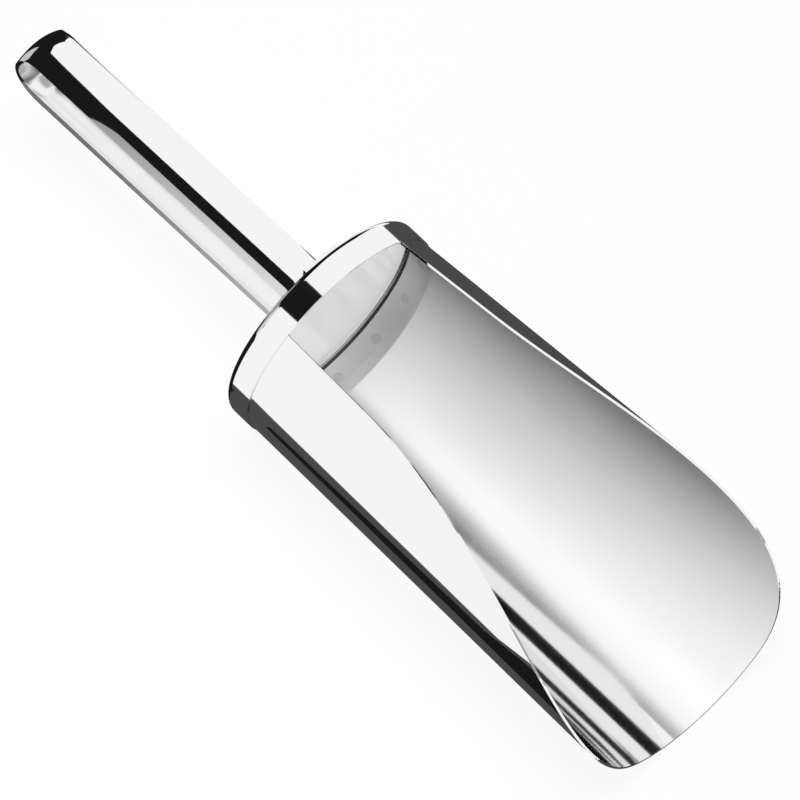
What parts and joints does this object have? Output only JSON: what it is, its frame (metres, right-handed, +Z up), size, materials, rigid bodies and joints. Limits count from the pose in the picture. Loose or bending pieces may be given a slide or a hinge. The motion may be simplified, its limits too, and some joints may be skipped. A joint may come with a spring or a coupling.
{
  "type": "bulk scoop",
  "caption": "Polished stainless steel bulk scoop with a flared trough blade, a drawn end cap and a hairpin strip handle.",
  "frame": {"origin": "on the table under the middle of the scoop's length and width, with the scoop resting on its lip and its cap", "axes": "+X forward along the blade to the lip, +Z up through the open mouth, +Y to the left of someone facing +X"},
  "size_m": [0.3016, 0.0886, 0.0803],
  "materials": {
    "polished_steel": "mirror polished",
    "weld_steel": "pressed spot weld, polished over"
  },
  "bodies": {
    "root": {"blade": "polished_steel", "end_cap": "polished_steel", "handle": "polished_steel", "blade_welds": "weld_steel", "foot_welds": "weld_steel"}
  },
  "joints": []
}
